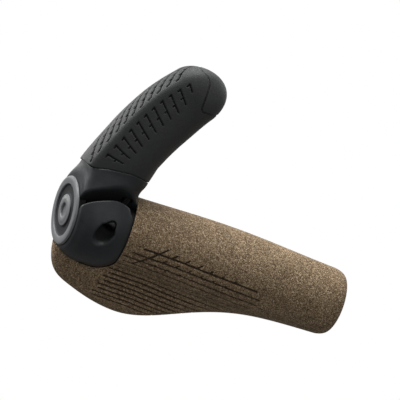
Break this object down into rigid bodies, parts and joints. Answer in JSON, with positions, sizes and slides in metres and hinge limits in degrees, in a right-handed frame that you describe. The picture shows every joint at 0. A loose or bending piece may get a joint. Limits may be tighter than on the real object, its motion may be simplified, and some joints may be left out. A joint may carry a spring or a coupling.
{
  "type": "handlebar grip with bar end",
  "caption": "Ergonomic cork-rubber handlebar grip with a palm wing and a rubber-covered bar end on a slotted, screw-tightened clamp collar with a round end cap.",
  "frame": {"origin": "centre of the clamp on the handlebar's axis", "axes": "+X along the handlebar towards the stem, +Z the way the bar end leaves the clamp, -Y the fingers' side"},
  "size_m": [0.1431, 0.0411, 0.1246],
  "materials": {
    "cork_rubber": "matt cork granules bound in rubber",
    "hard_plastic": "moulded",
    "clamp_composite": "satin fibre-filled plastic",
    "soft_rubber": "matt soft rubber",
    "tip_rubber": "matt rubber",
    "insert_brass": "turned",
    "screw_steel": "blackened steel",
    "washer_steel": "stamped",
    "cap_dark": "satin",
    "cap_grey": "satin"
  },
  "bodies": {
    "grip": {"grip_sleeve": "hard_plastic", "cork_grip": "cork_rubber", "wing_support": "hard_plastic"},
    "bar_end": {"bar_end_core": "clamp_composite", "horn_cover": "soft_rubber", "tip_cap": "tip_rubber", "threaded_insert": "insert_brass"},
    "washer": {"screw_washer": "washer_steel"},
    "screw": {"clamp_screw": "screw_steel"},
    "end_cap": {"cap_plug": "cap_dark", "cap_ring": "cap_grey", "cap_inlay": "cap_dark", "cap_boss": "cap_grey"}
  },
  "joints": [
    {"name": "bar_end_swivel", "type": "hinge", "parent": "grip", "child": "bar_end", "pos_m": [0, 0, 0], "axis": [1, 0, 0], "range_deg": [-15, 15]},
    {"name": "screw_travel", "type": "slide", "parent": "bar_end", "child": "washer", "axis": [-0.2999, -0.5998, -0.7418], "range_m": [0, 0.0014]},
    {"name": "screw_turn", "type": "hinge", "parent": "washer", "child": "screw", "pos_m": [0.0036, -0.0199, 0.0006], "axis": [-0.2999, -0.5998, -0.7418], "range_deg": [0, 720]},
    {"name": "end_cap_pull", "type": "slide", "parent": "bar_end", "child": "end_cap", "axis": [-0.973, -0.2122, -0.0906], "range_m": [0, 0.018]}
  ],
  "couplings": [
    {"joint": "screw_turn", "follows": "screw_travel", "rad_per_m": 8975.9}
  ]
}
